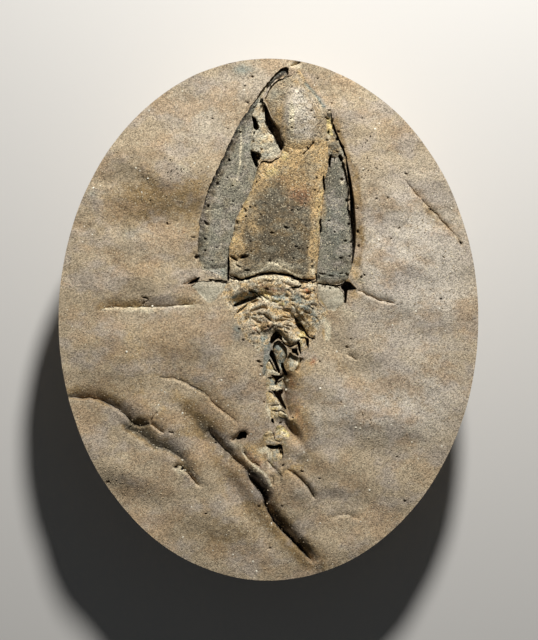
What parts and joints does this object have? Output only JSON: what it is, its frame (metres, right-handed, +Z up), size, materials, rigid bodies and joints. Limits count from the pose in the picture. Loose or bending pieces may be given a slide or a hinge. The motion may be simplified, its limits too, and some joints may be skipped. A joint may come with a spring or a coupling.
{
  "type": "fossil cystoid",
  "caption": "Fossil cystoid in an oval slab of fine sandstone: a pointed, plated body with a short stem of small ossicles, lying flat as a display piece.",
  "frame": {"origin": "centre of the slab's flat underside", "axes": "+Y from the stem to the pointed head, along the slab's length; +Z up out of the fossil side"},
  "size_m": [0.0546, 0.068, 0.0156],
  "materials": {
    "rock": "matt, fine-grained",
    "grey_plate": "matt, fine-grained",
    "ochre_plate": "matt, fine-grained",
    "crumbly_plate": "matt, fine-grained",
    "pale_plate": "matt, fine-grained",
    "root_stone": "matt, fine-grained",
    "stem_stone": "matt, fine-grained"
  },
  "bodies": {
    "root": {"matrix": "rock", "left_side_plate": "grey_plate", "right_side_plate": "grey_plate", "middle_plate": "ochre_plate", "left_wedge_plate": "crumbly_plate", "right_wedge_plate": "crumbly_plate", "left_corner_plate": "pale_plate", "right_corner_plate": "pale_plate", "stem_root": "root_stone", "left_stem_cone": "stem_stone", "right_stem_cone": "stem_stone", "stem_ossicle_1": "stem_stone", "stem_ossicle_2": "stem_stone", "stem_ossicle_3": "stem_stone", "stem_ossicle_4": "stem_stone", "stem_ossicle_5": "stem_stone", "stem_ossicle_6": "stem_stone", "stem_ossicle_7": "stem_stone", "stem_ossicle_8": "stem_stone"}
  },
  "joints": []
}
